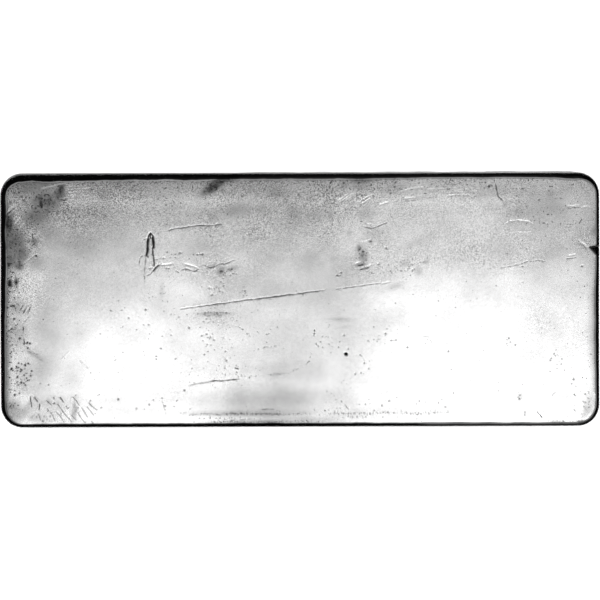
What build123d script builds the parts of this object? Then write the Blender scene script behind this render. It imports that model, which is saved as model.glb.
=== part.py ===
from build123d import *
from math import radians, tan
import os

# A one-kilogram ingot of cast silver, turned out of its mould and lying on the
# face that was open when it was poured. The face that was cast against the
# mould's floor is on top. X is along the length, Z is up, and the origin is in
# the middle of the plane that the ingot rests on.
# Lengths are in millimetres and angles in degrees.

# The casting, taken at the mould's mouth, which is the resting plane
mouth_length = 118.0
mouth_width = 50.7
thickness = 16.85
mouth_corner_radius = 5.0
wall_draft = 3.0              # lean of the mould's walls, so that the casting drops out

# The cast face: a flat whose borders roll off gently before the rounded edge
shoulder_width = 3.6
shoulder_drop = 0.16
flat_corner_radius = 6.5
cast_edge_radius = 1.2

# The poured face: a rounded edge, a narrow land to rest on, and a shrinkage hollow
poured_edge_radius = 2.2
land_width = 1.5
hollow_depth = 0.55
hollow_corner_radius = 7.0
hollow_bank_width = 9.0       # from the hollow's brim in to its level floor
hollow_section_shares = (0.0, 0.25, 0.55, 1.0)
hollow_steepness = 0.6        # below one, the bank falls fastest at the brim

# A chip out of the rounded edge at the right-hand end, pointed at its inner end
chip_reach = 1.9              # from the top of the end wall in to the point
chip_span = 2.1               # across, at the end wall
chip_depth = 1.2              # below the cast face, at the end wall
chip_y = 10.2                 # the chip's steep far side, from the ingot's centre line
chip_floor_share = 0.1        # where its deepest line lies across the span

# A pinhole that a gas bubble left in the cast face
pinhole_radius = 0.25
pinhole_depth = 0.7
pinhole_x = 9.0
pinhole_y = -10.5

# How far a cut runs past the surface that it starts from
overrun = 0.5

# The drafted wall ends at the shoulder, just below the flat
wall_height = thickness - shoulder_drop
wall_inset = wall_height * tan(radians(wall_draft))
shoulder_length = mouth_length - 2 * wall_inset
shoulder_breadth = mouth_width - 2 * wall_inset
flat_length = shoulder_length - 2 * shoulder_width
flat_width = shoulder_breadth - 2 * shoulder_width

# The chip's mouth lies just outside the end wall, where the chip has grown wider and deeper
chip_mouth_share = 1 + overrun / chip_reach
chip_mouth_span = chip_span * chip_mouth_share
chip_mouth_depth = chip_depth * chip_mouth_share

# The hollow's brim lies inside the poured edge and the land
brim_inset = poured_edge_radius + land_width
brim_length = mouth_length - 2 * brim_inset
brim_width = mouth_width - 2 * brim_inset

with BuildPart() as ingot:
    # Wall and shoulder as the mould leaves them: mouth, top of the wall, flat
    with BuildSketch():
        RectangleRounded(mouth_length, mouth_width, mouth_corner_radius)
    with BuildSketch(Plane.XY.offset(wall_height)):
        RectangleRounded(shoulder_length, shoulder_breadth, mouth_corner_radius - wall_inset)
    with BuildSketch(Plane.XY.offset(thickness)):
        RectangleRounded(flat_length, flat_width, flat_corner_radius)
    loft(ruled=True)

    # The metal doesn't fill the mould's sharp corners, so both edges are round
    wall_top = ingot.edges().filter_by_position(
        Axis.Z, wall_height - shoulder_drop / 2, wall_height + shoulder_drop / 2
    )
    fillet(wall_top, radius=cast_edge_radius)
    fillet(ingot.edges().group_by(Axis.Z)[0], radius=poured_edge_radius)

    # Shrinkage hollow: sections that narrow as they deepen
    for share in hollow_section_shares:
        bank = hollow_bank_width * share
        with BuildSketch(Plane.XY.offset(hollow_depth * share**hollow_steepness)):
            RectangleRounded(brim_length - 2 * bank, brim_width - 2 * bank, hollow_corner_radius)
    loft(mode=Mode.SUBTRACT)

    # Chip: a three-sided notch that rises from its mouth to a point on the shoulder
    with BuildSketch(Plane.YZ.offset(shoulder_length / 2 + overrun)) as chip_mouth:
        with BuildLine():
            Polyline(
                (chip_y, thickness),
                (chip_y - chip_floor_share * chip_mouth_span, thickness - chip_mouth_depth),
                (chip_y - chip_mouth_span, thickness),
                close=True,
            )
        make_face()
    chip_point = Vertex(shoulder_length / 2 - chip_reach, chip_y, thickness)
    loft(sections=[chip_mouth.sketch, chip_point], mode=Mode.SUBTRACT)

    # Pinhole
    with Locations((pinhole_x, pinhole_y, thickness)):
        Hole(pinhole_radius, depth=pinhole_depth)

ingot.part.label = "ingot"

os.makedirs("parts", exist_ok=True)
export_step(ingot.part, "parts/ingot.step")
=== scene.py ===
import math
from collections import namedtuple

import bmesh
import bpy
import numpy as np
from mathutils import Matrix, Vector


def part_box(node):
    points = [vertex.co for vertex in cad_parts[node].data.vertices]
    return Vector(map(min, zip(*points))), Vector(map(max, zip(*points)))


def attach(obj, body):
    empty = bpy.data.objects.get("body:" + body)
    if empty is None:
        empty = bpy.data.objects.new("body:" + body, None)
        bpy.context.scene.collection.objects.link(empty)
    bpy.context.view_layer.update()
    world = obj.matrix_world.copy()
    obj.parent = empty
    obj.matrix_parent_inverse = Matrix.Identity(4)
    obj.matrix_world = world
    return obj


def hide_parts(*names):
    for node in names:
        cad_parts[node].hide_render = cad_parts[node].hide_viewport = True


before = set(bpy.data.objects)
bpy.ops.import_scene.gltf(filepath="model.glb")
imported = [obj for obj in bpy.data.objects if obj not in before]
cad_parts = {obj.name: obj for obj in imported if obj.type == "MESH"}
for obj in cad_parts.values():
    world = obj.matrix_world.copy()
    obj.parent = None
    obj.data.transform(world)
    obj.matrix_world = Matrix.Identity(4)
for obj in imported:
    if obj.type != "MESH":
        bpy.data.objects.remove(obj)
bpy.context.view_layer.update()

# The ingot is modelled in millimetres and degrees, and scaled to metres as it becomes a mesh.
MM = 0.001
HALF_LENGTH, HALF_WIDTH, THICKNESS = np.array(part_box("ingot")[1]) / MM

# The casting: drafted walls under a rounded upper edge, and a poured face with a hollow
DRAFT = 3.0
CORNER_RADIUS = 4.88          # in plan, at the walls' widest
POURED_EDGE_RADIUS = 2.2
LAND_WIDTH = 1.4
HOLLOW_DEPTH = 0.55
HOLLOW_CORNER_RADIUS = 7.0
HOLLOW_BANK_WIDTH = 9.0
HOLLOW_STEEPNESS = 0.6
ROLL_OFF_WIDTH = 3.8
ROLL_OFF_DROP = 0.13
ROLL_OFF_CORNER_RADIUS = 6.0
END_ROLL_OFF_CUT = 0.5        # how much less the two ends roll off than the long sides

# The rounded upper edge: a turn out of the face, a slanting band, and a turn into the wall
EDGE_START_SLOPE = 2.0
BAND_SLOPES = (37.5, 41.8)
UPPER_TURN, BAND, LOWER_TURN = 0.34, 1.0, 0.14
BAND_WIDTH_SHARES = {         # along the left and right by Y, along the front and back by X
    "left": ((-22, 1.1), (-10, 1.15), (0, 1.3), (6, 1.45), (12, 1.35), (20, 1.45)),
    "right": ((-20, 0.8), (0, 1.0), (12, 0.7), (20, 0.75)),
    "front": ((-50, 0.82), (0, 0.85), (50, 0.85)),
    "back": ((-50, 1.85), (-29, 1.84), (0, 1.5), (25, 1.25), (46, 1.14), (53, 1.5)),
}
END_BAND_FALL_SHARE = 0.93    # the ends' bands slope a little less than the sides'
FLATTER_FROM, FLATTER_EASE = 21.0, 4.0  # the front band slopes less right of this
FLATTER_FALL_SHARE = 0.90
WIDTH_WAVES = ((0.03, 22, 11), (0.025, 5, 12), (0.01, 1.6, 13))  # share, wavelength and seed
SPREADS = {                   # how far the upper edges stand out past the draft, in the same way
    "left": ((-20, 0.04), (0, 0.06), (15, 0.0)),
    "right": ((0, 0.0), (1, 0.0)),
    "front": ((0, 0.12), (1, 0.12)),
    "back": ((-46, 0.34), (-8, 0.26), (20, 0.17)),
}
SPREAD_END_SHARE = 0.7        # how far down the wall they do
LEAN_FROM, LEAN_REACH, LEAN_IN = -8.0, 38.0, 0.38  # the back wall stands steeper at the left
LEAN_FALL = 0.05              # and so does its band
EDGE_EASE_WIDTH = 6.0         # where the face's grid makes room for a wider band

# How uneven the casting is: heights, wavelengths and seeds of random fields. The sinks keep them below
# the plain shape, and the face calms down by a share near its edge.
FACE_SWELLS = ((0.038, 26, 1), (0.004, 8, 2))
FACE_SINK = 0.10
FACE_CALM_SHARE = 0.85
WALL_RIPPLE, WALL_SINK = 0.022, 0.03
WALL_STREAKS, WALL_WAVES = (1.7, 4), (6.0, 5)  # wavelength and seed
WALL_STREAK_SCALE = (0.25, 0.25, 1)            # drawn out along the walls
WALL_EASE, LAND_EASE = 3.0, 2.0  # where they start below the edge, and end above the land

# Mesh density, and how far each halving of it reaches: in a mark's widths, and past them
FACE_COLUMNS, FACE_ROWS, FACE_RINGS = 264, 100, 5
TURN_RINGS, WALL_RINGS, UNDER_RINGS = 3, 20, 4
BAND_RING_SHARES = (0.06, 0.35, 0.65, 0.94, 1.0)
HALVINGS = ((2.5, 0.15), (1.7, 0.04))
MARK_REACH = 1.0              # no mark makes the mesh finer past this

# The photograph's frame, for marks that are placed by its pixels
PIXEL = 0.1944                # millimetres on the cast face
FACE_CENTRE = (299.76, 300.36)
PHOTO_TURN = math.radians(0.2)


def on_face(column, row):
    """The place on the cast face, in millimetres, of a pixel of the photograph."""
    across, up = column - FACE_CENTRE[0], FACE_CENTRE[1] - row
    return ((across + up * PHOTO_TURN) * PIXEL, (up - across * PHOTO_TURN) * PIXEL)


# Marks of the cast face, placed by the photograph's pixels, with their own sizes in millimetres.
# A cut is a groove with a raised lip beside it, and a negative depth is a ridge. Dark is the dirt
# that it holds, and below none it is a polished stroke. Its brokenness runs from none, for an even
# line, to one, for a row of dots.
Cut = namedtuple("Cut", "width depth lip dark broken")
CUTS = {
    "thick": Cut(0.25, 0.050, 0.000, 1.80, 0.1),
    "deep": Cut(0.14, 0.035, 0.000, 1.70, 0.1),
    "worn": Cut(0.18, 0.012, 0.000, 0.50, 0.3),
    "sharp": Cut(0.10, 0.020, 0.002, 1.50, 0.35),
    "fine": Cut(0.09, 0.012, 0.005, 0.90, 0.5),
    "lap": Cut(0.08, 0.010, 0.004, 0.60, 0.8),
    "crease": Cut(0.10, 0.012, 0.006, 1.30, 0.5),
    "faint": Cut(0.12, 0.006, 0.004, 0.25, 0.5),
    "ridge": Cut(0.11, -0.008, 0.000, -0.20, 0.3),
    "brush": Cut(0.12, 0.014, 0.000, -0.50, 0.25),
    "streak": Cut(0.14, 0.018, 0.000, -0.80, 0.2),
    "ripple": Cut(0.075, 0.016, 0.010, 1.30, 0.1),
}
CUT_REACH, LIP_AT, DIRT_REACH = 4.0, 2.0, 0.8  # in a cut's widths
CUT_END_SHARE = 0.1                            # of its length, in which it tapers out
CUT_WANDER, CUT_WANDER_LENGTH = 0.03, 2.2      # how far it strays sideways, in waves that long
CUT_RAG_LENGTHS = (1.3, 0.45)                  # waves in which it grows stronger and weaker
CUT_SEEDS = (40, 90, 190)                      # the first cut's, for these waves in turn
LINES = {
    "thick": [
        [(148.6, 237), (147.9, 245), (147.5, 250), (146.7, 257)],
        [(152.6, 236.5), (153.5, 241), (153.8, 249)],
    ],
    "deep": [
        [(147.8, 243), (149, 235.6), (150.7, 233.4), (152.6, 235.4), (153.8, 243)],
        [(150.6, 232.6), (150.9, 239)],
        [(153, 246), (153, 253.7), (153.8, 258.3), (154.6, 262.5), (154.4, 267)],
        [(160, 264.5), (156, 267.7), (152.6, 272)],
    ],
    "worn": [
        [(187, 386.3), (196, 383.4), (216, 380.5)], [(146.9, 253), (145.8, 261), (145.2, 269)],
        [(148.7, 268.6), (153.5, 268.2)],
    ],
    "sharp": [
        [(167.5, 230.9), (172.7, 229.5), (178, 228.3), (190, 227), (197, 226), (207, 225.2)],
        [(204, 225.6), (215.3, 225.6), (220.4, 224.2), (223, 225.2)],
        [(198, 306.6), (207, 305.3), (238.8, 301.2), (249, 299.7), (280, 296), (310, 292), (326.5, 289.8)],
        [(210, 381.4), (215.3, 380.3), (221.4, 380.8), (240.5, 378.8)],
        [(494.5, 184.5), (496.3, 191.7), (497.5, 196.7)], [(497, 195.5), (500, 198.8), (501.8, 201.5)],
        [(7.5, 214.8), (12.5, 211)], [(358, 265.6), (363, 264.6)],
        [(61, 199.8), (64.4, 200.8), (67.8, 199.8)],
    ],
    "fine": [
        [(333.7, 289.5), (356, 286.4), (381.6, 282.9)],
        [(498, 267.6), (511.4, 266), (525.7, 262), (537, 260.4), (546, 261.2)],
        [(153.3, 271), (150.7, 274), (147, 275.9)], [(145.1, 267), (144.8, 277), (145, 284)],
        [(143.8, 256), (142, 256), (140.3, 258.5), (139.8, 262), (140, 265), (139.6, 269)],
        [(402, 201.7), (414, 200.7)], [(426.5, 198.7), (430.6, 197.7)], [(174.5, 359.4), (179, 357.3)],
        [(340.3, 399.7), (349, 410)], [(8.2, 389.3), (12.8, 389.3)], [(180, 309), (207, 305.4)],
        [(63.5, 178.5), (63.6, 187)], [(259, 409.6), (275, 409.2)], [(566, 208.2), (580, 207.6)],
        [(578, 243.2), (583, 246), (587.5, 251.5)], [(34.5, 353), (38.7, 354.8)],
        [(25, 200.6), (29.6, 194.8)],
    ],
    "lap": [
        [(183.5, 412.5), (187.5, 412.3)],
        [(189, 415), (193.5, 413.5), (196, 414.5), (202, 413.5), (208, 413.2), (212, 414.2), (220, 415.5),
         (224, 414.4)],
        [(221, 414.8), (229, 413.8), (236, 414.2), (248, 414), (258, 413.3), (269, 413.4), (276, 414.4),
         (286, 414.2)],
        [(206, 422), (233, 421.6), (258, 422.2), (288, 421.8)], [(214, 419.8), (250, 419.6), (262, 420)],
    ],
    "crease": [
        [(203, 264.5), (211, 268), (217, 266), (221.4, 263.5), (224.5, 264.5), (235.7, 259.4)],
        [(182, 270.3), (185.3, 268.7), (189.3, 269.3), (190.7, 270.7), (196, 271), (198.7, 268.4)],
        [(176, 270.3), (179.4, 272.7)],
        [(361.5, 226.2), (366, 227.6), (371.3, 228.5), (376, 227.2), (382, 224.8), (388, 222.4)],
        [(359.4, 269.7), (364, 269), (369, 267.5)], [(577.4, 224.4), (581.3, 218.6)],
        [(389.8, 340), (397, 340)], [(234.7, 367.6), (239.8, 368.6)], [(335.6, 275.4), (340, 276.4)],
        [(20.5, 311), (24, 304.5)], [(23.5, 313.5), (27.5, 307)], [(28, 314), (31, 306)],
        [(23.6, 326.5), (24.2, 332)], [(24, 338.5), (24.8, 345)], [(33.3, 233), (33.3, 239.5)],
        [(573.3, 393.2), (575.6, 396.2)], [(573.3, 409), (575.6, 411.6)], [(540, 415.5), (542.2, 418)],
        [(525.5, 410.5), (524.2, 417)], [(565.5, 258.6), (571.5, 258.2), (575.5, 257)],
        [(55.5, 191), (55.7, 195)],
    ],
    "faint": [
        [(32.6, 290), (30.6, 314.5), (23.5, 323.7), (24.5, 344), (41, 359)],
        [(420.4, 334.9), (427.6, 337), (431.6, 342), (429, 345)], [(263.3, 347), (268.4, 346.3)],
        [(360.2, 354.3), (363.3, 358.4)], [(376, 339.7), (380, 338.5)], [(553, 366.5), (558, 368.6)],
        [(79, 359.4), (88.8, 368.6)], [(28, 350), (33, 354), (38.5, 358), (44, 361.4)],
        [(541, 408.2), (544.3, 412)], [(381, 284), (392, 281.5)], [(551, 395.6), (555, 391)],
        [(587, 411), (584.5, 415), (580.5, 418.3)], [(588.4, 412.4), (586, 416), (582, 419.4)],
    ],
    "streak": [
        [(4.6, 215.4), (10, 210.9), (17.5, 204.6)], [(160, 265), (167.3, 264.9), (174, 263.1)],
        [(183.5, 264.3), (188.7, 265.2), (198, 268)], [(576.5, 239.6), (582, 243.2), (587, 248.4)],
        [(579.6, 181), (583, 182)], [(40.6, 189.6), (50, 187.6), (59.4, 185), (73, 181.8)],
        [(66, 187.8), (84, 186.6)], [(15.6, 224.4), (21.6, 217.6)],
    ],
    "brush": [
        [(330.6, 199.4), (344.5, 190.8)], [(336, 202.8), (349, 193.6)], [(338.5, 203.2), (356, 192.2)],
        [(345, 200.8), (357.5, 193.4)], [(357.5, 203), (365, 198.4), (375.5, 194)],
        [(361, 204.4), (374, 196.6)], [(378.8, 205), (388, 202.8)],
        [(398, 193), (412, 188.5), (436, 186.5)], [(404, 191), (424, 187.5)], [(424, 190), (460, 188)],
        [(440, 193), (479, 191.5)], [(446, 190.5), (472, 189.5)], [(446, 196), (470, 195)],
        [(404, 199), (416, 198.2)], [(9.4, 216), (15.4, 211)], [(14.2, 221), (18.4, 217)],
        [(18, 226.4), (24, 219.6)], [(20, 229.6), (26, 222.6)], [(60, 198.4), (64, 199.2), (67.6, 198)],
        [(66, 185.6), (80, 184)], [(67, 190.4), (94, 188.5)], [(68, 193.6), (86, 192)],
        [(504, 224.4), (509, 221.2), (517.5, 220.2)], [(516, 220.3), (527.5, 221.7), (532.8, 225.2)],
        [(565.5, 206.6), (579, 206)], [(580, 208.4), (585, 206.8), (591, 208.4)],
        [(567, 256.6), (575, 254.2)], [(20.6, 309), (23, 304)], [(22.6, 311.6), (26.6, 305)],
        [(26, 313), (29.4, 307.4)], [(10.6, 325), (18, 343.8)], [(15, 321), (20.6, 330)],
        [(24, 264.4), (36.4, 254)], [(355, 264), (361.5, 261.4)], [(361, 268), (371, 265.4)],
    ],
    "ridge": [
        [(70, 195), (84, 192)], [(530.8, 224), (529.8, 231.3), (516.5, 231.3)],
        [(363.8, 222.8), (375, 224), (379.5, 221.2)], [(360, 241), (371, 238.6)],
        [(70.4, 351), (61.2, 360.4)], [(46.2, 400), (51.6, 406)], [(59, 398), (61.4, 401)],
        [(53, 417), (56.4, 422.6)], [(54.6, 411.4), (62.4, 422.8)], [(61.4, 411.4), (65.4, 416)],
        [(74.6, 399.6), (77.6, 404.6)], [(76.2, 413.6), (83, 422.4)], [(72, 396), (70.6, 420)],
        [(85.4, 407), (92, 416)],
    ],
    "ripple": [
        [(31, 395.5), (30.6, 400), (31.9, 407.6)], [(34.3, 396.6), (38.6, 401.8)],
        [(39.8, 403), (39.1, 410.4)], [(39, 413.6), (40.6, 421)], [(46.5, 400), (52.2, 405.4)],
        [(53.4, 396.6), (54.4, 399.2)], [(47.2, 407.6), (53, 416), (56.4, 422.4)],
        [(55.4, 411), (60, 415.5), (64.6, 423.5)], [(56.8, 402.6), (63, 411), (68.2, 417.8), (72.4, 423.4)],
        [(62.6, 411), (67.6, 417.4)], [(59.8, 396.8), (63.8, 402.8)], [(65.8, 406), (68.8, 409)],
        [(71.4, 414.6), (76.4, 420.6)], [(72.8, 396), (80.4, 406)], [(77, 412), (81, 417.5), (86.2, 423.8)],
        [(81.4, 407), (84, 411.5), (88.2, 417.8)], [(86.8, 405.8), (94.4, 416)],
        [(88.8, 401.8), (93, 406.5), (97.8, 411)], [(91.4, 421.2), (93.4, 424)],
        [(524.7, 410.4), (525, 416.5)], [(536, 410.4), (542, 417.6)],
    ],
}

# Lines of small dents, by the usual way from one to the next in pixels. The ways and the sizes range
# over shares of the usual ones, and the dents stray from the line by pixels.
DOT_WAYS, DOT_STRAY = (0.4, 1.9), 0.35
DOT_SIZES, DOT_TONES = (0.5, 0.85), (0.3, 1.5)
DOTTED = {
    3.0: [
        [(202, 321), (221.4, 322.7), (236.7, 325.7), (242.9, 329.8), (252, 338)],
        [(322, 335.5), (328, 337), (331.5, 341), (329.6, 346), (324, 347.6), (318, 345.6), (315.6, 342)],
        [(358, 354), (363.3, 358.4), (364.5, 364)], [(258, 349), (268, 347), (279, 345.8)],
        [(238, 376), (250, 376), (258, 373)], [(268, 374.5), (275, 375), (284, 374.4), (292, 373.5)],
        [(292, 371), (302, 368), (309, 362), (312, 352)], [(171, 314), (178, 315.5), (180.5, 319)],
        [(203, 312.5), (216, 311.5), (229, 313)], [(205, 315.8), (218, 315), (226, 316.2)],
        [(330, 414.4), (362, 413.8)], [(404, 412.4), (418, 413.4)],
        [(196, 418.6), (228, 418), (262, 418.6)], [(283, 421.8), (304, 421), (322, 422)],
        [(340, 417), (366, 417)], [(16, 181.2), (66, 180.6)], [(12, 184), (40, 182.4)],
        [(10, 188), (7, 200), (6, 214)], [(182, 269.6), (190, 270.6), (199, 269)],
        [(440, 186), (448, 190), (452, 186)],
    ],
    6.0: [
        [(212, 340), (226, 337), (236, 342)], [(256, 331), (264, 334), (274, 333)],
        [(366, 341), (376, 339), (385, 335)], [(206, 352), (226, 346), (240, 350)],
        [(555, 348), (562, 366), (570, 380)], [(520, 262), (524, 272), (522, 284)],
        [(160, 290), (163, 302), (165, 314)], [(300, 411), (340, 408.6)],
    ],
    1.3: [
        [(189, 415), (196, 414.3), (206, 413.4), (214, 414.4), (222, 414.6)],
        [(222, 414.6), (232, 413.8), (250, 414), (262, 413.6), (276, 414.4), (290, 414.6)],
        [(224, 413.6), (250, 413.4), (286, 413.8)], [(292, 413.8), (310, 414)],
        [(328.6, 413), (355, 413.2), (398, 413)], [(400, 413), (422, 413), (449, 412.4)],
        [(210, 422), (233, 421.6), (258, 422.2), (283, 421.8)], [(563, 223.8), (574, 224.8)],
        [(563, 227.2), (571.7, 226.8)], [(483, 188.4), (488.3, 186.6), (495, 185.2)],
        [(494.5, 184.5), (496.3, 191.7), (497.5, 196.7), (501.8, 201.5)],
        [(161.7, 397), (163.3, 403), (166.8, 415.5)], [(584, 408), (587.4, 406)],
        [(552, 197.8), (562, 198.6)], [(249, 299.7), (280, 296), (326, 289.9)],
    ],
}

# Small dents, and the radius in pixels of the usual one. Tones are how dark the dents are.
DENT_RADIUS = 0.65
DENT_DEPTH_SHARE, DENT_REACH = 0.15, 4.0  # in its radius
DENT_SIZES, DENT_TONES, DENT_STRETCH = (0.7, 1.35), (0.6, 1.0), (0.7, 1.3)
DENT_SEED, DENT_STRETCH_SEED = 5, 6
DENTS = [
    (146, 309.4), (129, 317.6), (144, 324.5), (149, 324.5), (145, 355), (156.6, 356), (156.6, 358.8),
    (118.4, 399), (153.6, 399.7), (136.7, 408.4), (149.5, 404.3), (161.2, 348), (189.3, 327.6), (171.4, 335),
    (202, 335.4), (207, 333.9), (210.7, 337), (214.3, 340), (225.5, 351.2), (226, 360.4), (204.6, 354.3),
    (225.5, 374.7), (184.7, 390), (256, 375.7), (298, 368.6), (314.8, 330.8), (313.8, 335), (338.3, 347),
    (348, 348.7), (385.2, 333.4), (407, 347), (363.8, 363), (368.4, 368.6), (360.7, 372.7), (355, 373.7),
    (388.8, 400.7), (418.9, 400.7), (381.6, 405.3), (444.9, 406.8), (343.9, 335), (249.5, 377.2),
    (581.5, 266), (508.4, 338), (507.3, 345.6), (511.4, 346.6), (515, 344.6), (573, 378.8), (11.5, 202.5),
    (27, 343), (28.5, 347), (11.5, 368.6), (15.3, 394), (19.4, 393), (174.5, 406.3), (165.3, 405.8),
    (164, 258.4), (170.4, 257.9), (197.5, 254.5), (202.5, 254.5), (180.5, 252.8), (386, 248.4), (378.6, 264),
    (337, 275), (340, 275.5), (205.5, 198), (467, 196.5), (474, 196.5), (99.5, 201.5), (9, 281),
    (17, 282), (519.5, 395), (519, 398.5), (36.5, 256), (423, 262), (412, 270), (182, 186.5), (448, 351),
    (157.2, 259.5), (175.7, 257.5), (179.6, 252.9), (182, 253.1), (197.7, 254.3), (201.2, 254.4),
    (203, 253.8), (166.8, 268.3), (169.2, 268.4), (76, 395), (54.3, 403), (78.5, 407.5), (90.5, 400),
    (98, 395.2), (101.5, 407.3), (48.7, 384.6), (40.3, 383.3), (515.8, 195.8), (538, 200), (546.7, 224.2),
    (570.8, 185), (588.3, 391.7), (574.4, 405.6), (567.2, 416.4), (571, 383.3), (594.5, 395.5),
    (385.6, 247.5), (370.4, 241.6), (378, 264.6), (341, 272.5), (11.3, 201.6), (15.3, 193.4), (34.7, 193),
]

# Pits, which are darker and sharper than the dents, and the radius in pixels of the usual one
PIT_RADIUS = 0.72
PIT_SIZES, PIT_TONE = (0.8, 1.2), 2.2
PITS = [
    (19, 363), (22, 363.8), (25.6, 365), (28.7, 363.3), (17, 366.7), (18.7, 367.5), (11.8, 368.8),
    (13.3, 370.4), (22, 369.8), (21, 371.3), (17.4, 370.7), (32, 371), (24.5, 375), (27, 378),
    (27.8, 380.4), (29.5, 380), (31, 375.7), (17.8, 377), (17.4, 382), (24.3, 383), (21.6, 382.5),
    (18.7, 385), (25.7, 385), (15, 395), (20, 393), (28, 342.5), (30.3, 343.3), (28, 348.3),
    (24.3, 343.8), (20.3, 338.3), (14.7, 306), (12.8, 305.6), (8, 307.8), (8, 316.9), (14.7, 318.8),
    (11.9, 329), (9.4, 331), (581.2, 266.3), (314.4, 330.6), (314.2, 333.4), (488.3, 186.7), (36.7, 256),
    (10.3, 282.6), (10.6, 285.4), (16.6, 282.4),
]

# Clusters of dents: column and row, half-sizes along and across, and number
CLUSTER_SIZES, CLUSTER_TONES = (0.45, 1.0), (0.5, 1.0)
CLUSTERS = [
    (25, 372, 8, 12, 14), (229, 272, 9, 3.5, 14), (44, 418, 14, 5, 16), (217, 287, 9, 12, 16),
    (214, 314, 18, 2, 16), (208, 340, 7, 8, 8), (228, 365, 11, 12, 12), (243, 291, 4, 8, 7),
    (44, 204, 7, 9, 12), (556, 361, 7, 8, 9), (586, 398, 5, 18, 12), (363, 257, 5, 10, 12),
    (404, 266, 14, 6, 12), (62, 193, 6, 8, 10), (180, 187, 60, 8, 12), (300, 181, 130, 6, 14),
    (12, 318, 7, 34, 14), (540, 411, 9, 5, 9), (13, 283, 6, 3.5, 9), (508, 341, 3, 5, 9),
    (40, 182, 26, 3, 16), (589, 402, 5, 6, 12), (575, 421, 12, 1.5, 10),
]

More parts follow.
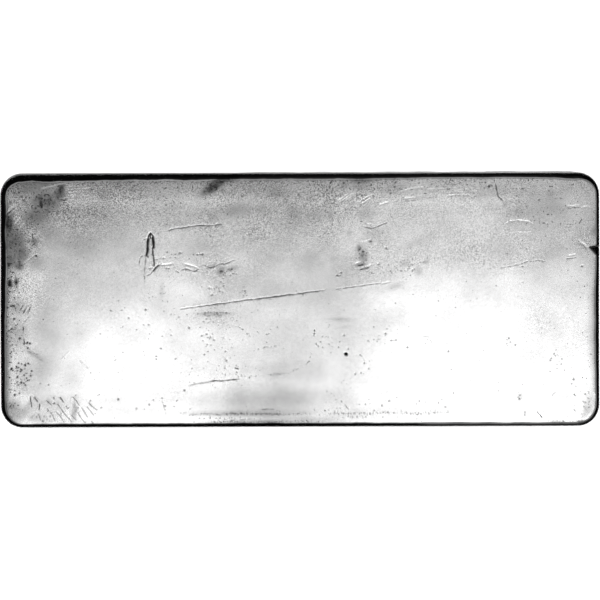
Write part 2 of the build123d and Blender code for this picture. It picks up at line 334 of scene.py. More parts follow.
# Patches, each with its place and half-sizes in pixels, its strength and its turn in degrees, uphill to
# the right and usually none
Patch = namedtuple("Patch", "column row along across strength turn", defaults=[0])
PATCHES = {
    "stain_and_painted_shade": [                 # dirt, and painted shade along the rounded edges and in the corners, stippled by the skin
        (41, 198, 5, 4, 0.75, -10), (42, 204.5, 3, 5.5, 0.9), (36, 209, 3, 3, 0.55, -20),
        (32.5, 215, 3.5, 2.5, 0.6, 35), (60, 195.5, 7, 8, 0.68), (62, 190, 3.5, 6, 0.85),
        (46, 201, 17, 12, 0.62), (38, 216, 16, 12, 0.45, 20), (36, 188, 24, 9, 0.42),
        (104, 196, 9, 5, 0.25), (88, 206, 30, 10, 0.12), (10, 224, 5, 13, 0.85), (15, 246, 12, 22, 0.6, 5),
        (20, 255, 11, 12, 0.6), (34, 262, 9, 9, 0.25), (13, 259, 7, 10, 0.72), (20.5, 266, 4.5, 5, 0.75),
        (10, 265.5, 3, 4, 0.8), (10.5, 283.5, 2.5, 4.5, 0.95), (17, 282, 2, 4, 0.85),
        (35, 242, 4.5, 4, 0.45), (22, 375, 9, 13, 0.15), (7, 298, 3, 16, 0.2), (20, 308, 11, 8, 0.28),
        (17, 330, 9, 17, 0.2), (31, 353, 6, 2, 0.2, -35), (38, 357, 8, 2.5, 0.12, -30),
        (13, 413, 12, 12, 0.35), (8.5, 350, 3, 60, 0.2), (214, 186.5, 17, 5.5, 0.85, 34),
        (228, 179, 14, 4, 0.6, 12), (236, 211, 16, 8, 0.3, 10), (213, 217, 5, 6, 0.25),
        (278, 194, 12, 5, 0.3, -20), (262, 208, 6, 4, 0.25), (293, 213, 7, 8, 0.3),
        (318, 216, 12, 7, 0.22), (330, 215, 4, 7, 0.3), (311, 257, 8, 5, 0.15), (221, 271, 5, 4, 0.5, 50),
        (232, 269, 7, 2.5, 0.4, 10), (212, 267, 7, 2, 0.35, 20), (359, 248.5, 3, 4, 0.6),
        (363, 256.5, 5, 7, 0.5), (361, 265, 6, 1.8, 0.6, 8), (364, 269, 6, 1.4, 0.5, 12),
        (370, 241.5, 2.5, 1.2, 0.55), (361, 252, 6, 9, 0.3), (404, 263.5, 6, 3.5, 0.2),
        (418, 271.5, 4, 5, 0.25), (426, 262, 3, 2.5, 0.3), (395, 286.5, 7, 3, 0.2, 15),
        (415, 243, 18, 4, 0.15, 20), (344, 185, 5, 4, 0.35), (359, 187, 9, 4, 0.3),
        (361, 181, 12, 2.5, 0.5), (349, 233, 3, 3, 0.25), (333, 259, 4, 3, 0.2), (366, 214, 9, 7, 0.22),
        (395, 190, 12, 5, 0.2, 10), (419, 199, 22, 2, 0.2, 3), (215, 314, 18, 2.5, 0.3),
        (339, 319.4, 12.5, 2.2, 0.3, -3), (343, 327.5, 5, 1.6, 0.15), (278, 374, 9, 1, 0.35, 5),
        (74.5, 406, 2, 5, 0.3), (76, 410, 1.8, 4, 0.5, -20), (74, 414, 3, 7, 0.3), (10.5, 407, 4, 2, 0.7),
        (245, 413.5, 56, 3, 0.22), (592, 345, 3, 80, 0.12), (547, 203, 24, 10, 0.2, 10),
        (550, 194.5, 6, 4, 0.3), (516.7, 211.7, 3, 2.5, 0.25), (504, 205, 2.5, 3, 0.3),
        (520, 396, 3, 4, 0.2), (243, 291, 5, 9, 0.1), (162, 290, 3, 9, 0.15), (557, 421.6, 8, 1.6, 0.5),
        (582, 421.4, 9, 1.8, 0.5, 5), (585.5, 408, 4, 3, 0.2, -45), (585, 412, 4, 10, 0.25, -45),
        (593.5, 231, 2.5, 7, 0.5), (590, 402, 5, 6, 0.12), (40, 419, 14, 5, 0.14),
    ],
    "pricked": [               # fields of pinpricks
        (22, 372, 9, 14, 0.6), (217, 288, 12, 15, 0.4), (243, 291, 6, 10, 0.5), (162, 290, 4, 11, 0.5),
        (215, 314, 19, 3, 0.6), (226, 272, 13, 5, 0.8, 10), (208, 372, 30, 14, 0.35),
        (395, 268, 34, 12, 0.5), (300, 178, 300, 24, 0.5), (40, 205, 30, 28, 0.7), (12, 300, 12, 130, 0.7),
        (320, 414, 130, 2.5, 0.3), (552, 215, 40, 20, 0.4), (330, 342, 12, 8, 0.4),
        (225, 330, 40, 12, 0.35, -10), (250, 372, 40, 6, 0.35, 3), (590, 330, 8, 90, 0.3),
        (362, 256, 8, 14, 0.7), (260, 225, 90, 20, 0.3), (170, 257, 40, 4, 0.4),
    ],
    "grain": [                 # where the cast skin is matt and grainy
        (80, 172, 120, 62, 0.82), (310, 178, 290, 68, 0.57), (0, 225, 42, 110, 0.88),
        (600, 300, 20, 150, 0.2), (0, 350, 34, 90, 0.3), (575, 225, 60, 60, 0.2), (190, 268, 75, 16, 0.3),
        (225, 290, 28, 20, 0.15), (440, 245, 120, 32, 0.38), (584, 240, 16, 18, 0.45),
        (45, 415, 40, 12, 0.25), (100, 290, 60, 40, 0.12), (372, 262, 40, 24, 0.3), (214, 318, 26, 9, 0.3),
        (560, 330, 44, 60, 0.15), (200, 385, 60, 20, 0.12),
    ],
    "painted_shade": [                  # painted shade: broad stretches where the colour is darkened to stand in for darker reflections
        (285, 380, 44, 60, 0.13), (262, 406, 66, 24, 0.42), (300, 410, 120, 16, 0.2),
        (262, 423, 62, 5, 0.6), (36, 228, 46, 42, 0.32), (48, 232, 22, 12, 0.42), (492, 203, 12, 10, 0.3),
        (285, 240, 60, 56, 0.18), (275, 230, 80, 34, 0.2), (332, 290, 40, 46, 0.15),
        (22, 345, 26, 90, 0.27), (40, 410, 40, 16, 0.35), (540, 212, 46, 34, 0.24),
        (240, 205, 60, 26, 0.2, 10), (76, 226, 56, 38, 0.32), (42, 356, 34, 60, 0.42),
        (60, 374, 26, 26, 0.3), (66, 366, 34, 50, 0.2), (562, 305, 50, 56, 0.22), (12, 410, 16, 18, 0.4),
        (110, 390, 70, 50, 0.13), (366, 356, 34, 64, 0.16), (60, 280, 28, 60, 0.17),
        (200, 380, 60, 50, 0.08), (50, 263, 26, 14, 0.33), (274, 202, 40, 18, 0.25),
        (196, 249, 66, 11, 0.2), (284, 244, 26, 12, 0.27), (288, 370, 50, 14, 0.22),
        (34, 388, 34, 10, 0.42), (120, 413, 120, 9, 0.2), (262, 412, 66, 9, 0.47), (380, 413, 90, 9, 0.26),
        (520, 198, 70, 11, 0.3), (80, 198, 34, 10, 0.3), (36, 352, 13, 11, 0.5), (336, 406, 34, 18, 0.22),
        (590, 404, 9, 14, 0.25), (592, 230, 22, 60, 0.3), (592, 325, 14, 50, 0.26),
        (588, 186, 12, 10, 0.35), (530, 252, 40, 26, 0.22), (372, 232, 10, 8, 0.25),
        (296, 421, 56, 6, 0.42), (60, 421, 52, 4, 0.28), (70, 412, 50, 14, 0.2),
        (115, 424.5, 95, 3.5, 0.3), (140, 345, 120, 90, 0.05),
    ],
}

# How much the painted shade and the grain vary: share, wavelength and seed
PAINTED_SHADE_WAVE, GRAIN_WAVE = (0.07, 7, 7), (0.2, 9, 6)

# A chip at the right-hand end. Its far and near sides and the line between them, where it is deepest,
# are given by their Y from its tip, at its reach.
CHIP_TIP = on_face(588.4, 247.3)
CHIP_REACH, CHIP_DEPTH = 2.0, 1.25
CHIP_FAR, CHIP_NEAR, CHIP_FLOOR = 0.3, -2.15, 0.15
CHIP_SINK = 0.1               # how far below the flat's highest place its sides start
CHIP_LEAST_SHARE = 0.001      # of its reach, where it starts
# Painted shade in and around the chip
CHIP_PAINTED_SHADE = 0.9
CHIP_RIM, CHIP_RIM_GROWTH = 0.25, 1.6  # how far past its sides the painted shade reaches, more so outwards

# A pinhole that a gas bubble left
PINHOLE_AT = on_face(345.9, 354)
PINHOLE_RADIUS, PINHOLE_DEPTH = 0.22, 0.6

# The metal's finish. Noises have a scale per metre and a detail, a gain is how far a noise moves the
# tone from its middle, and tones run from none, for black, to one.
FINE_NOISE, PRICK_NOISE, MOTTLE_NOISE, CLOUD_NOISE = (6200, 1), (2400, 0), (2000, 3), (160, 4)
METAL_TONE, LEAST_TONE, MOST_TONE = 0.95, 0.05, 0.97
DIRT_TONE, SHINE_TONE = 0.02, 0.98
GRIT_GAIN, GRIT_MIDDLE = 5.2, 0.53
CLOUD_GAIN, CLOUD_MIDDLE = 0.45, 0.6
MOTTLE_GAIN = 0.22
STIPPLE_MOTTLE_GAIN, STIPPLE_FINE_GAIN = 2.0, 2.6
PRICK_LEVEL, PRICK_LEVEL_FALL, PRICK_SHARPNESS, PRICK_DARK = 0.8, 0.19, 22.0, 0.8
EDGE_PAINTED_SHADE = 0.35              # painted shade: how much darker the rounded edge's colour is than the face's, for the dark surroundings it mirrors
# Painted shade on the walls: their colour is darkened, more at the back wall's steeper left, for the shaded
# floor they mirror
WALL_PAINTED_SHADE, LEAN_WALL_PAINTED_SHADE = 0.67, 0.2
WALL_TONE_EASE = 0.2          # over what width the edge's finish goes over into the wall's
EDGE_ROUGHNESS = 0.05         # to which the others add theirs
FACE_ROUGHNESS, WALL_ROUGHNESS, GRAIN_ROUGHNESS, STAIN_AND_SHADE_ROUGHNESS = 0.13, 0.20, 0.05, 0.25
GRAIN_BUMP = 0.006
SPECULAR_TINT = (0.2, 0.2, 0.2, 1)

# The studio: the sky's brightness by elevation in degrees, near black at the horizon, and the lamps, as
# name, two corners, height, watts per square metre and whether the metal mirrors them
SKY = ((0, 0.002), (9.5, 0.003), (11.5, 0.02), (13.5, 0.06), (15, 0.28), (18, 0.52),
       (24, 0.52), (32, 0.42), (46, 0.33), (62, 0.24), (78, 0.34), (90, 0.34))
LAMPS = (
    ("left_box", (-150, -420), (-18, -12), 620, 4.08, True),
    ("right_box", (15, -420), (190, -11.5), 620, 4.32, True),
    ("top_box", (10, 10), (320, 300), 620, 0.68, True),
    ("floor_fill", (-800, -600), (800, 1000), 1200, 15.6, False),
)
FLOOR_SIZE = 4000
FLOOR_COLOUR, FLOOR_ROUGHNESS = (0.85, 0.85, 0.85, 1), 0.8

# The camera leans back from straight above
CAMERA_DISTANCE, CAMERA_CLIP, VIEW_WIDTH = 500, 10, 116.33
CAMERA_LEAN = math.radians(1.42)
AIM = (0.04, 0.05)


def near_line(x, y, line):
    """Distance from each point to a polyline, and how far along it the nearest point lies, as a share."""
    line = np.array(line)
    lengths = np.linalg.norm(np.diff(line, axis=0), axis=1)
    starts = np.concatenate([[0], np.cumsum(lengths)])
    best = np.full(x.shape, np.inf)
    share = np.zeros(x.shape)
    for (ax, ay), (bx, by), length, start in zip(line[:-1], line[1:], lengths, starts):
        t = np.clip(((x - ax) * (bx - ax) + (y - ay) * (by - ay)) / length ** 2, 0, 1)
        distance = np.hypot(x - ax - t * (bx - ax), y - ay - t * (by - ay))
        nearer = distance < best
        best = np.where(nearer, distance, best)
        share = np.where(nearer, (start + t * length) / starts[-1], share)
    return best, share


def stretch_move(length, start, end):
    """How far a stretch of the profile goes outwards and down, between two slopes in degrees."""
    a, b = math.radians(start), math.radians(end)
    if start == end:
        return length * math.cos(a), length * math.sin(a)
    return length * (math.sin(b) - math.sin(a)) / (b - a), length * (math.cos(a) - math.cos(b)) / (b - a)


def edge_profile():
    """The stretches from the cast face to the land: length, first slope and last slope."""
    upper = [(UPPER_TURN, EDGE_START_SLOPE, BAND_SLOPES[0]), (BAND, *BAND_SLOPES),
             (LOWER_TURN, BAND_SLOPES[1], 90 - DRAFT)]
    poured_turn = math.radians(90 + DRAFT)
    lower = [(POURED_EDGE_RADIUS * poured_turn, 90 - DRAFT, 180)]
    used = sum(stretch_move(*stretch)[1] for stretch in upper + lower)
    wall = (THICKNESS - ROLL_OFF_DROP - used) / math.cos(math.radians(DRAFT))
    return upper + [(wall, 90 - DRAFT, 90 - DRAFT)] + lower


def sampled(profile, step=0.02):
    """Distance along the profile, slope in radians, way out and way down, at close points."""
    along, slope = [0.0], [math.radians(profile[0][1])]
    for length, start, end in profile:
        count = max(2, round(length / step))
        for i in range(1, count + 1):
            along.append(along[-1] + length / count)
            slope.append(math.radians(start + (end - start) * i / count))
    along, slope = np.array(along), np.array(slope)
    middle = (slope[1:] + slope[:-1]) / 2
    out = np.concatenate([[0], np.cumsum(np.diff(along) * np.cos(middle))])
    down = np.concatenate([[0], np.cumsum(np.diff(along) * np.sin(middle))])
    return along, slope, out, down


ALONG, SLOPE, OUT, DOWN = sampled(edge_profile())
EDGE_LENGTH = UPPER_TURN + BAND + LOWER_TURN
EDGE_OUT, EDGE_DOWN = np.interp(EDGE_LENGTH, ALONG, OUT), np.interp(EDGE_LENGTH, ALONG, DOWN)

# The outline of the cast face, where the profile starts, and that of the land, where it ends
FACE_HALF_LENGTH, FACE_HALF_WIDTH = HALF_LENGTH - OUT.max(), HALF_WIDTH - OUT.max()
FACE_RADIUS = CORNER_RADIUS - OUT.max()
LAND_INSET = OUT.max() - OUT[-1]


def waves(points, wavelength, seed, count=24):
    """A smooth random field over points, with a standard deviation of one: waves in random directions."""
    rng = np.random.default_rng(seed)
    ways = rng.normal(size=(points.shape[1], count))
    ways /= np.linalg.norm(ways, axis=0)
    lengths = wavelength * rng.uniform(0.75, 1.35, count)
    phases = rng.uniform(0, 2 * math.pi, count)
    return math.sqrt(2 / count) * np.cos(points @ (ways * 2 * math.pi / lengths) + phases).sum(axis=1)


def summed(points, table):
    """The sum of random fields, from their heights, wavelengths and seeds."""
    return sum(height * waves(points, wavelength, seed) for height, wavelength, seed in table)


def smooth(x):
    """Zero to one with level ends."""
    x = np.clip(x, 0, 1)
    return x * x * (3 - 2 * x)


def bell(x):
    """One at zero, falling off evenly both ways."""
    return np.exp(-x * x)


def ring(centre_x, centre_y, radius, columns, rows):
    """Points and normals round a rounded rectangle, anticlockwise from its lower left corner's middle."""
    sides = ((-90, centre_x, centre_y, columns), (0, centre_y, centre_x, rows),
             (90, centre_x, centre_y, columns), (180, centre_y, centre_x, rows))
    points, normals = [], []
    arc = radius * math.pi / 4
    for facing, half, away, count in sides:
        d = np.arange(count) / count * 2 * (arc + half)
        over = np.minimum(d - arc, 0) + np.maximum(d - arc - 2 * half, 0)
        angle = over / radius if radius else np.zeros(count)
        across = np.clip(d - arc, 0, 2 * half) - half
        local = np.stack([away + radius * np.cos(angle), across + radius * np.sin(angle)], axis=1)
        face = math.radians(facing)
        turn = np.array([[math.cos(face), math.sin(face)], [-math.sin(face), math.cos(face)]])
        points.append(local @ turn)
        normals.append(np.stack([np.cos(angle + face), np.sin(angle + face)], axis=1))
    return np.concatenate(points), np.concatenate(normals)


def strip(inner, outer):
    """Quads between two closed rings of as many points."""
    return [(inner[i - 1], outer[i - 1], outer[i], inner[i]) for i in range(len(inner))]


def halving_strip(inner, outer):
    """Triangles from a closed ring to one of half as many points."""
    faces = []
    for i in range(len(outer)):
        a, b, c = inner[2 * i], inner[2 * i + 1], inner[(2 * i + 2) % len(inner)]
        p, q = outer[i], outer[(i + 1) % len(outer)]
        faces += [(a, p, b), (b, p, q), (b, q, c)]
    return faces


def disc(half_x, half_y, radius, columns, rows, rings):
    """A rounded rectangle filled by a grid with rings round it: points, faces, rim indices, rim normals."""
    centre_x, centre_y = half_x - radius, half_y - radius
    xs, ys = np.meshgrid(np.linspace(-centre_x, centre_x, columns + 1),
                         np.linspace(-centre_y, centre_y, rows + 1))
    points = [np.stack([xs.ravel(), ys.ravel()], axis=1)]
    index = np.arange((columns + 1) * (rows + 1)).reshape(rows + 1, columns + 1)
    quads = np.stack([index[:-1, :-1], index[:-1, 1:], index[1:, 1:], index[1:, :-1]], axis=2)
    faces = [tuple(quad) for quad in quads.reshape(-1, 4).tolist()]
    rim = np.concatenate([index[0, :-1], index[:-1, -1], index[-1, :0:-1], index[:0:-1, 0]]).tolist()
    total = len(points[0])
    for k in range(1, rings + 1):
        ring_points, normals = ring(centre_x, centre_y, radius * k / rings, columns, rows)
        points.append(ring_points)
        new_rim = list(range(total, total + len(ring_points)))
        total += len(ring_points)
        faces += strip(rim, new_rim)
        rim = new_rim
    return np.concatenate(points), faces, rim, normals


def inset_of(x, y, half_x, half_y, radius):
    """How far inside a rounded rectangle's outline each point is, and the way out to the outline."""
    qx, qy = np.abs(x) - (half_x - radius), np.abs(y) - (half_y - radius)
    px, py = np.maximum(qx, 0), np.maximum(qy, 0)
    reach = np.hypot(px, py)
    inset = radius - reach - np.minimum(np.maximum(qx, qy), 0)
    corner = reach > 0
    safe = np.where(corner, reach, 1)
    nx = np.where(corner, px / safe, qx > qy) * np.sign(x)
    ny = np.where(corner, py / safe, qx <= qy) * np.sign(y)
    return inset, nx, ny


def back_lean(x, ny):
    """How much the back wall leans, from none at the middle to all of it at the left."""
    return np.clip((LEAN_FROM - x) / LEAN_REACH, 0, 1) * np.maximum(ny, 0)


def by_side(table, x, y, nx, ny):
    """A value from its tables along the four sides, blended round the corners."""
    left, right, front, back = [np.interp(y if side in ("left", "right") else x, *zip(*table[side]))
                                for side in ("left", "right", "front", "back")]
    return np.where(nx < 0, left, right) * nx ** 2 + np.where(ny < 0, front, back) * ny ** 2


def cast_surface(flat):
    """Where points of the unrolled face and walls lie: places, normals and distances inside the face."""
    x, y = flat[:, 0], flat[:, 1]
    inset, nx, ny = inset_of(x, y, FACE_HALF_LENGTH, FACE_HALF_WIDTH, FACE_RADIUS)
    s = np.maximum(-inset, 0)
    out, down = np.interp(s, ALONG, OUT), np.interp(s, ALONG, DOWN)
    slope = np.where(s > 0, np.interp(s, ALONG, SLOPE), 0)
    # The band's width differs from side to side, and wavers along each
    width = by_side(BAND_WIDTH_SHARES, x, y, nx, ny)
    foot = np.stack([x + nx * inset, y + ny * inset], axis=1)
    width *= 1 + summed(foot, WIDTH_WAVES)
    leaning = back_lean(x, ny)
    fall = width * (1 - (1 - END_BAND_FALL_SHARE) * nx ** 2)
    fall *= 1 + LEAN_FALL * leaning
    flatter = smooth((x - FLATTER_FROM) / FLATTER_EASE) * (ny < -0.5)
    fall *= 1 - (1 - FLATTER_FALL_SHARE) * flatter
    eased = smooth(1 - inset / EDGE_EASE_WIDTH)
    wall_share = np.clip((s - EDGE_LENGTH) / (ALONG[-1] - EDGE_LENGTH), 0, 1)
    deeper = (fall - 1) * np.minimum(down, EDGE_DOWN) * (1 - wall_share)
    wider = (width - 1) * (np.minimum(out, EDGE_OUT) - EDGE_OUT) * eased
    wider += by_side(SPREADS, x, y, nx, ny) * eased * np.clip(1 - wall_share / SPREAD_END_SHARE, 0, 1)
    wider -= LEAN_IN * leaning * wall_share
    x, y = x + nx * (out - s + wider), y + ny * (out - s + wider)
    # The face's border rolls off towards the edge
    shoulder, _, _ = inset_of(x, y, FACE_HALF_LENGTH, FACE_HALF_WIDTH, ROLL_OFF_CORNER_RADIUS)
    roll = ROLL_OFF_DROP * np.clip(1 - shoulder / ROLL_OFF_WIDTH, 0, 1) ** 2
    roll *= 1 - END_ROLL_OFF_CUT * nx ** 2
    z = THICKNESS - np.minimum(roll, ROLL_OFF_DROP) - down - deeper
    normal = np.stack([nx * np.sin(slope), ny * np.sin(slope), np.cos(slope)], axis=1)
    return np.stack([x, y, z], axis=1), normal, inset


def cast_sheet():
    """The cast face and the walls as one flat sheet: points, faces and the indices of its last ring."""
    face, faces, rim, normals = disc(FACE_HALF_LENGTH, FACE_HALF_WIDTH, FACE_RADIUS,
                                     FACE_COLUMNS, FACE_ROWS, FACE_RINGS)
    sheets, foot, total = [face], face[rim], len(face)
    turn_shares = np.arange(1, TURN_RINGS + 1) / TURN_RINGS
    wall_shares = np.arange(1, WALL_RINGS + 1) / WALL_RINGS
    distances = np.concatenate([
        UPPER_TURN * turn_shares,
        UPPER_TURN + BAND * np.array(BAND_RING_SHARES),
        UPPER_TURN + BAND + LOWER_TURN * turn_shares,
        EDGE_LENGTH + (ALONG[-1] - EDGE_LENGTH) * wall_shares,
    ])
    for k, distance in enumerate(distances):
        coarser = k == len(distances) - WALL_RINGS
        if coarser:
            foot, normals = foot[::2], normals[::2]
        new_rim = list(range(total, total + len(foot)))
        faces += (halving_strip if coarser else strip)(rim, new_rim)
        sheets.append(foot + normals * distance)
        total += len(foot)
        rim = new_rim
    return np.concatenate(sheets), faces, rim


def refined(flat, faces, chosen):
    """Halves the edges of the faces whose middles are chosen. The first points keep their indices."""
    mesh = bpy.data.meshes.new("flat_sheet")
    mesh.from_pydata(np.pad(flat, ((0, 0), (0, 1))).tolist(), [], faces)
    work = bmesh.new()
    work.from_mesh(mesh)
    work.faces.ensure_lookup_table()
    edges = {edge for i in chosen for edge in work.faces[i].edges}
    bmesh.ops.subdivide_edges(work, edges=list(edges), cuts=1, use_grid_fill=True)
    work.verts.index_update()
    points = np.array([vert.co[:2] for vert in work.verts])
    new_faces = [tuple(vert.index for vert in face.verts) for face in work.faces]
    work.free()
    bpy.data.meshes.remove(mesh)
    return points, new_faces


def middles(flat, faces):
    """The middle of each face."""
    counts = np.array([len(face) for face in faces])
    flat_indices = np.concatenate([np.array(face) for face in faces])
    owner = np.repeat(np.arange(len(faces)), counts)
    sums = np.zeros((len(faces), 2))
    np.add.at(sums, owner, flat[flat_indices])
    return sums / counts[:, None]


def dots(line, step, rng):
    """Places at uneven steps along a line of the photograph's pixels."""
    line = np.array(line)
    starts = np.concatenate([[0], np.cumsum(np.linalg.norm(np.diff(line, axis=0), axis=1))])
    along = rng.uniform(0, step)
    while along < starts[-1]:
        yield [np.interp(along, starts, line[:, axis]) + rng.normal(0, DOT_STRAY) for axis in (0, 1)]
        along += step * rng.uniform(*DOT_WAYS)


def dents():
    """Every dent's place on the cast face, its radius and how dark it is."""
    rng = np.random.default_rng(DENT_SEED)
    usual = DENT_RADIUS * PIXEL
    for place in DENTS:
        yield on_face(*place), usual * rng.uniform(*DENT_SIZES), rng.uniform(*DENT_TONES)
    for place in PITS:
        yield on_face(*place), PIT_RADIUS * PIXEL * rng.uniform(*PIT_SIZES), PIT_TONE
    for step, lines in DOTTED.items():
        for line in lines:
            for place in dots(line, step, rng):
                yield on_face(*place), usual * rng.uniform(*DOT_SIZES), rng.uniform(*DOT_TONES)
    for column, row, along, across, number in CLUSTERS:
        for _ in range(number):
            turn, out = rng.uniform(0, 2 * math.pi), math.sqrt(rng.uniform(0, 1))
            place = on_face(column + along * out * math.cos(turn), row + across * out * math.sin(turn))
            yield place, usual * rng.uniform(*CLUSTER_SIZES), rng.uniform(*CLUSTER_TONES)


def cuts():
    """Every cut with its line on the cast face."""
    for kind, lines in LINES.items():
        for line in lines:
            yield CUTS[kind], [on_face(*point) for point in line]


def beside(x, y, line, reach):
    """Which points lie within reach of a line's extent."""
    low, high = np.min(line, axis=0) - reach, np.max(line, axis=0) + reach
    return np.nonzero((x > low[0]) & (x < high[0]) & (y > low[1]) & (y < high[1]))[0]


def mark_distance(x, y, margin):
    """How near each point is to any mark that needs a fine mesh, past that many of the mark's widths."""
    best = np.hypot(x - CHIP_TIP[0] - CHIP_REACH / 2, y - CHIP_TIP[1]) - CHIP_REACH
    for cut, line in cuts():
        near = beside(x, y, line, MARK_REACH)
        distance, _ = near_line(x[near], y[near], line)
        best[near] = np.minimum(best[near], distance - cut.width * margin)
    for (px, py), radius, _ in [*dents(), (PINHOLE_AT, PINHOLE_RADIUS, 1.0)]:
        best = np.minimum(best, np.hypot(x - px, y - py) - radius * margin)
    return best


def patches(x, y, kind):
    """The strength of the strongest patch of that kind at each point."""
    total = np.zeros(x.shape)
    for patch in [Patch(*values) for values in PATCHES[kind]]:
        px, py = on_face(patch.column, patch.row)
        turn = math.radians(patch.turn)
        along = (x - px) * math.cos(turn) + (y - py) * math.sin(turn)
        across = (y - py) * math.cos(turn) - (x - px) * math.sin(turn)
        reach = np.hypot(along / (patch.along * PIXEL), across / (patch.across * PIXEL))
        total = np.maximum(total, patch.strength * np.exp(-reach ** 3))
    return total


def darkened(dark, tone):
    """The darker of two at each point. A polished stroke, below none, stays where the tone adds nothing."""
    return dark + np.maximum(tone - np.maximum(dark, 0), 0)


def cast_relief(x, y, flat):
    """The height of the cast face's marks over its smooth shape, and how dark they are."""
    height, dark = np.zeros(x.shape), np.zeros(x.shape)
    long_rag, short_rag = CUT_RAG_LENGTHS
    wander_seed, long_seed, short_seed = CUT_SEEDS
    for number, (cut, line) in enumerate(cuts()):
        near = beside(x, y, line, CUT_REACH * cut.width)
        wander = CUT_WANDER * waves(flat[near], CUT_WANDER_LENGTH, wander_seed + number)
        distance, share = near_line(x[near] + wander, y[near] + wander, line)
        taper = smooth(share / CUT_END_SHARE) * smooth((1 - share) / CUT_END_SHARE)
        rag = 0.5 * waves(flat[near], long_rag, long_seed + number)
        rag += 0.9 * cut.broken * waves(flat[near], short_rag, short_seed + number)
        # The more broken a cut is, the weaker it is and the more it comes and goes
        level = 1 - 0.5 * cut.broken - 0.35 * cut.broken ** 3
        ragged = np.clip(level + (0.2 + 0.6 * cut.broken) * rag, 0, 1.25) * taper
        height[near] -= cut.depth * ragged * bell(distance / cut.width)
        height[near] += cut.lip * ragged * bell((distance - LIP_AT * cut.width) / cut.width)
        tone = cut.dark * ragged * bell(distance / (DIRT_REACH * cut.width))
        dark[near] = darkened(dark[near], tone) if cut.dark > 0 else dark[near] + tone
    rng = np.random.default_rng(DENT_STRETCH_SEED)
    for (px, py), radius, tone in dents():
        near = np.nonzero(np.maximum(abs(x - px), abs(y - py)) < DENT_REACH * radius)[0]
        dent = bell(np.hypot(x[near] - px, (y[near] - py) * rng.uniform(*DENT_STRETCH)) / radius)
        height[near] -= DENT_DEPTH_SHARE * radius * dent
        dark[near] = darkened(dark[near], tone * dent)
    # The pinhole is dark to just past its rim
    hole = np.hypot(x - PINHOLE_AT[0], y - PINHOLE_AT[1]) / PINHOLE_RADIUS
    height -= PINHOLE_DEPTH * smooth(1.5 - hole)
    dark = darkened(dark, smooth(2.6 - 1.7 * hole))
    return height, dark


def chip_away(points, dark):
    """Lowers points to the chip's two planes, which meet in a line that falls outwards from its tip."""
    t = np.maximum((points[:, 0] - CHIP_TIP[0]) / CHIP_REACH, CHIP_LEAST_SHARE)
    y = points[:, 1] - CHIP_TIP[1]
    from_far, from_near = CHIP_FAR * t - y, y - CHIP_NEAR * t
    near_share = from_near / (CHIP_FLOOR - CHIP_NEAR)
    drop = CHIP_DEPTH * np.minimum(from_far / (CHIP_FAR - CHIP_FLOOR), near_share)
    top = THICKNESS - CHIP_SINK
    past_tip = t > CHIP_LEAST_SHARE
    points[:, 2] = np.minimum(points[:, 2], np.where(past_tip, top - drop, THICKNESS))
    # Painted shade: its colour is darkened inside and just past its sides, for the dark its faces mirror,
    # but not down the wall under it
    rim = CHIP_RIM * (1 + CHIP_RIM_GROWTH * np.minimum(t, 1))
    foot = top - CHIP_DEPTH * np.minimum(near_share, t)
    chip_shade = smooth(np.minimum(from_far, from_near) / rim + 1) * smooth((points[:, 2] - foot) / CHIP_RIM + 1)
    return darkened(dark, CHIP_PAINTED_SHADE * chip_shade * past_tip)


def unevenness(points, inset):
    """The height of the casting's swells and ripples over its plain shape, none at the most."""
    s = np.maximum(-inset, 0)
    face = summed(points, FACE_SWELLS) - FACE_SINK
    face *= 1 - FACE_CALM_SHARE * smooth(1 - inset / EDGE_EASE_WIDTH)
    streaks = waves(points * WALL_STREAK_SCALE, *WALL_STREAKS)
    wall = WALL_RIPPLE * (streaks + waves(points, *WALL_WAVES)) - WALL_SINK
    height = face + wall * smooth((s - EDGE_LENGTH) / WALL_EASE)
    return np.minimum(height, 0) * smooth((ALONG[-1] - s) / LAND_EASE)


def poured_face():
    """The land and the hollow, in the plan that the walls end with: points, faces and rim indices."""
    half_x, half_y, radius = HALF_LENGTH - LAND_INSET, HALF_WIDTH - LAND_INSET, CORNER_RADIUS - LAND_INSET
    flat, faces, rim, _ = disc(half_x, half_y, radius, FACE_COLUMNS // 2, FACE_ROWS // 2, UNDER_RINGS)
    brim_x, brim_y = half_x - LAND_WIDTH, half_y - LAND_WIDTH
    depth, _, _ = inset_of(flat[:, 0], flat[:, 1], brim_x, brim_y, HOLLOW_CORNER_RADIUS)
    z = HOLLOW_DEPTH * np.clip(depth / HOLLOW_BANK_WIDTH, 0, 1) ** HOLLOW_STEEPNESS
    return np.concatenate([flat, z[:, None]], axis=1), faces, rim


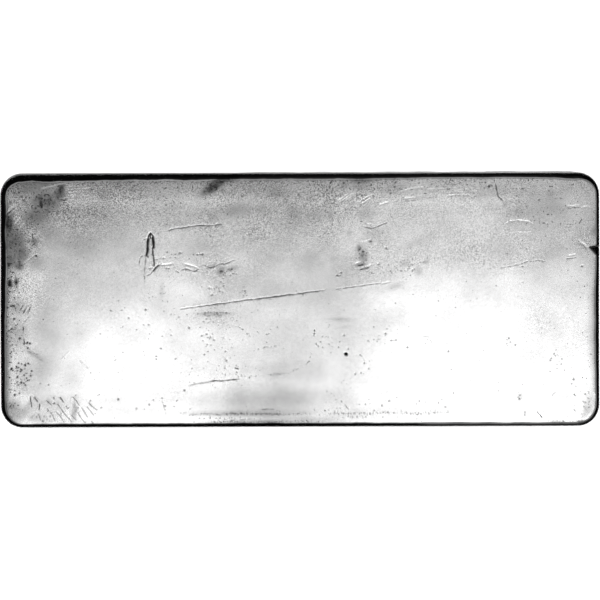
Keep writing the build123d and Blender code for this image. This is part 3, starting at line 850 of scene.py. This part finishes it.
def build_ingot():
    flat, faces, land_rim = cast_sheet()
    for margin, reach in HALVINGS:
        middle, _, _ = cast_surface(middles(flat, faces))
        near = mark_distance(middle[:, 0], middle[:, 1], margin) < reach
        flat, faces = refined(flat, faces, np.nonzero(near)[0].tolist())
    points, normal, inset = cast_surface(flat)
    x, y = points[:, 0], points[:, 1]
    s = np.maximum(-inset, 0)

    on_top, on_wall = smooth(1 - s / UPPER_TURN), smooth((s - UPPER_TURN - BAND) / WALL_TONE_EASE + 1)
    relief, dark = cast_relief(x, y, flat)
    points = points + normal * (unevenness(points, inset) + relief * on_top)[:, None]
    dark = chip_away(points, dark * on_top)

    # The poured face shares the land's rim with the walls, and faces down
    under, under_faces, under_rim = poured_face()
    index = dict(zip(under_rim, land_rim))
    inner = [i for i in range(len(under)) if i not in index]
    index.update({old: len(points) + new for new, old in enumerate(inner)})
    faces = faces + [tuple(index[i] for i in reversed(face)) for face in under_faces]
    points = np.concatenate([points, under[inner]])

    mesh = bpy.data.meshes.new("cast_ingot")
    mesh.from_pydata((points * MM).tolist(), [], faces)
    mesh.validate()
    mesh.shade_smooth()
    painted_shade_patches = patches(x, y, "painted_shade") * (1 + summed(flat, [PAINTED_SHADE_WAVE]))
    layers = {
        "dark": np.clip(dark, -1, 1),
        # Stains, and painted shade along the rounded edges, over the edge but not down the walls
        "stain_and_painted_shade": patches(x, y, "stain_and_painted_shade") * (1 - on_wall),
        "pricked": patches(x, y, "pricked") * on_top,
        "grain": np.clip(patches(x, y, "grain") * (1 + summed(flat, [GRAIN_WAVE])), 0, 1) * on_top,
        # Painted shade: broad patches and the rounded edge are darkened in colour, the walls not
        "painted_shade": np.clip(painted_shade_patches + EDGE_PAINTED_SHADE * smooth(s / UPPER_TURN), 0, 1) * (1 - on_wall),
        "face": on_top,
        # The walls' mask sets their roughness and their painted shade, more at the back wall's steeper left
        "wall": on_wall * (1 + LEAN_WALL_PAINTED_SHADE * back_lean(x, normal[:, 1])),
    }
    for name, values in layers.items():
        layer = mesh.attributes.new(name, "FLOAT", "POINT")
        layer.data.foreach_set("value", np.pad(values, (0, len(points) - len(values))))
    return bpy.data.objects.new("cast_ingot", mesh)


def feed(tree, socket, value):
    """Links a node's input to another node's output, or sets it to a plain value."""
    if isinstance(value, bpy.types.NodeSocket):
        tree.links.new(value, socket)
    else:
        socket.default_value = value


def add(tree, kind, **settings):
    """A new node, with its inputs fed by name. A name in small letters is a property's."""
    node = tree.nodes.new(kind)
    for name, value in settings.items():
        if name.islower():
            setattr(node, name, value)
        else:
            feed(tree, node.inputs[name.replace("_", " ")], value)
    return node


def maths(tree, operation, *values, clamp=False):
    """A maths node's result, from numbers or sockets."""
    node = add(tree, "ShaderNodeMath", operation=operation, use_clamp=clamp)
    for socket, value in zip(node.inputs, values):
        feed(tree, socket, value)
    return node.outputs[0]


def silver_material():
    material = bpy.data.materials.new("cast_silver")
    material.use_nodes = True
    tree = material.node_tree
    tree.nodes.clear()

    def plus(a, b):
        return maths(tree, "ADD", a, b)

    def minus(a, b):
        return maths(tree, "SUBTRACT", a, b)

    def times(a, b, clamp=False):
        return maths(tree, "MULTIPLY", a, b, clamp=clamp)

    def without(a, share):
        return times(a, minus(1.0, share))

    place = add(tree, "ShaderNodeTexCoord").outputs["Object"]
    dark, stain_and_painted_shade, pricked, grain, painted_shade, face, wall = [
        add(tree, "ShaderNodeAttribute", attribute_name=name).outputs["Fac"]
        for name in ("dark", "stain_and_painted_shade", "pricked", "grain", "painted_shade", "face", "wall")
    ]
    fine, pricks, mottle, cloud = [
        add(tree, "ShaderNodeTexNoise", Vector=place, Scale=scale, Detail=detail).outputs["Fac"]
        for scale, detail in (FINE_NOISE, PRICK_NOISE, MOTTLE_NOISE, CLOUD_NOISE)
    ]

    # Bright metal, less so where the skin is grainy, and darkened by painted shade over broad patches, the
    # rounded edge and the walls
    grit = times(minus(fine, GRIT_MIDDLE), times(grain, GRIT_GAIN))
    clouds = times(minus(cloud, CLOUD_MIDDLE), CLOUD_GAIN)
    mottling = times(minus(mottle, 0.5), plus(grain, MOTTLE_GAIN))
    tone = plus(plus(grit, plus(clouds, mottling)), METAL_TONE)
    tone = without(without(tone, painted_shade), times(wall, WALL_PAINTED_SHADE))
    tone = maths(tree, "MINIMUM", maths(tree, "MAXIMUM", tone, LEAST_TONE), MOST_TONE)

    # Stains and painted shade are stippled, cuts and dents hold dirt, the chip holds painted shade, and
    # polished strokes are bright metal
    stipple = plus(1.0, times(minus(mottle, 0.5), STIPPLE_MOTTLE_GAIN))
    stipple = plus(stipple, times(minus(fine, 0.5), STIPPLE_FINE_GAIN))
    stain_and_shade_stippled = times(stain_and_painted_shade, stipple, clamp=True)
    prick_level = minus(PRICK_LEVEL, times(pricked, PRICK_LEVEL_FALL))
    holes = times(minus(pricks, prick_level), PRICK_SHARPNESS, clamp=True)
    clean = without(minus(1.0, stain_and_shade_stippled), maths(tree, "MAXIMUM", dark, 0.0))
    tone = times(tone, without(clean, times(holes, PRICK_DARK)))
    polished = times(dark, -1.0, clamp=True)
    tone = plus(tone, times(polished, minus(MOST_TONE, tone)))
    tone = maths(tree, "MINIMUM", plus(tone, DIRT_TONE), SHINE_TONE)
    colour = add(tree, "ShaderNodeCombineColor", Red=tone, Green=tone, Blue=tone).outputs[0]

    roughness = plus(EDGE_ROUGHNESS, times(face, FACE_ROUGHNESS))
    roughness = plus(roughness, times(wall, WALL_ROUGHNESS))
    roughness = plus(roughness, times(grain, GRAIN_ROUGHNESS))
    roughness = plus(roughness, times(times(stain_and_shade_stippled, face), STAIN_AND_SHADE_ROUGHNESS))
    bump = add(tree, "ShaderNodeBump", Strength=grain, Distance=GRAIN_BUMP * MM, Height=fine).outputs[0]
    shader = add(tree, "ShaderNodeBsdfPrincipled", Base_Color=colour, Metallic=1.0, Roughness=roughness,
                 Specular_Tint=SPECULAR_TINT, Normal=bump)
    add(tree, "ShaderNodeOutputMaterial", Surface=shader.outputs[0])
    return material


def area_light(name, corner, far_corner, height, power, seen_in_metal):
    """A level lamp over the rectangle between two corners, all in millimetres."""
    data = bpy.data.lights.new(name, "AREA")
    data.shape = "RECTANGLE"
    data.size = (far_corner[0] - corner[0]) * MM
    data.size_y = (far_corner[1] - corner[1]) * MM
    data.energy = power * data.size * data.size_y
    light = bpy.data.objects.new(name, data)
    middle = [(near + far) / 2 for near, far in zip(corner, far_corner)]
    light.location = Vector((*middle, height)) * MM
    light.visible_glossy = seen_in_metal
    bpy.context.collection.objects.link(light)


def studio():
    world = bpy.data.worlds.new("studio")
    bpy.context.scene.world = world
    world.use_nodes = True
    tree = world.node_tree
    tree.nodes.clear()
    place = add(tree, "ShaderNodeTexCoord").outputs["Generated"]
    split = add(tree, "ShaderNodeSeparateXYZ", Vector=place)
    ramp = add(tree, "ShaderNodeValToRGB", Fac=split.outputs["Z"])
    for i, (elevation, value) in enumerate(SKY):
        height = math.sin(math.radians(elevation))
        stop = ramp.color_ramp.elements[i] if i < 2 else ramp.color_ramp.elements.new(height)
        stop.position = height
        stop.color = (value, value, value, 1)
    back = add(tree, "ShaderNodeBackground", Color=ramp.outputs[0])
    add(tree, "ShaderNodeOutputWorld", Surface=back.outputs[0])
    for lamp in LAMPS:
        area_light(*lamp)


def floor():
    bpy.ops.mesh.primitive_plane_add(size=FLOOR_SIZE * MM, location=(0, 0, 0))
    plane = bpy.context.object
    plane.name = "floor"
    material = bpy.data.materials.new("pale_floor")
    material.use_nodes = True
    shader = material.node_tree.nodes["Principled BSDF"]
    shader.inputs["Base Color"].default_value = FLOOR_COLOUR
    shader.inputs["Roughness"].default_value = FLOOR_ROUGHNESS
    shader.inputs["Specular IOR Level"].default_value = 0.0
    plane.data.materials.append(material)


def camera():
    """The photograph's view: from above, leaning a little to the back, and turned a little."""
    data = bpy.data.cameras.new("camera")
    data.lens = data.sensor_width * CAMERA_DISTANCE / VIEW_WIDTH
    data.clip_start = CAMERA_CLIP * MM
    cam = bpy.data.objects.new("camera", data)
    bpy.context.collection.objects.link(cam)
    way_back = Vector((0, math.sin(CAMERA_LEAN), math.cos(CAMERA_LEAN)))
    cam.location = Vector((*AIM, THICKNESS)) * MM + way_back * CAMERA_DISTANCE * MM
    turned = Matrix.Rotation(-CAMERA_LEAN, 4, "X") @ Matrix.Rotation(-PHOTO_TURN, 4, "Z")
    cam.rotation_euler = turned.to_euler()
    bpy.context.scene.camera = cam


camera()
ingot = build_ingot()
bpy.context.collection.objects.link(ingot)
ingot.data.materials.append(silver_material())
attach(ingot, "root")
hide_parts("ingot")
studio()
floor()
bpy.context.scene.view_settings.view_transform = "Standard"
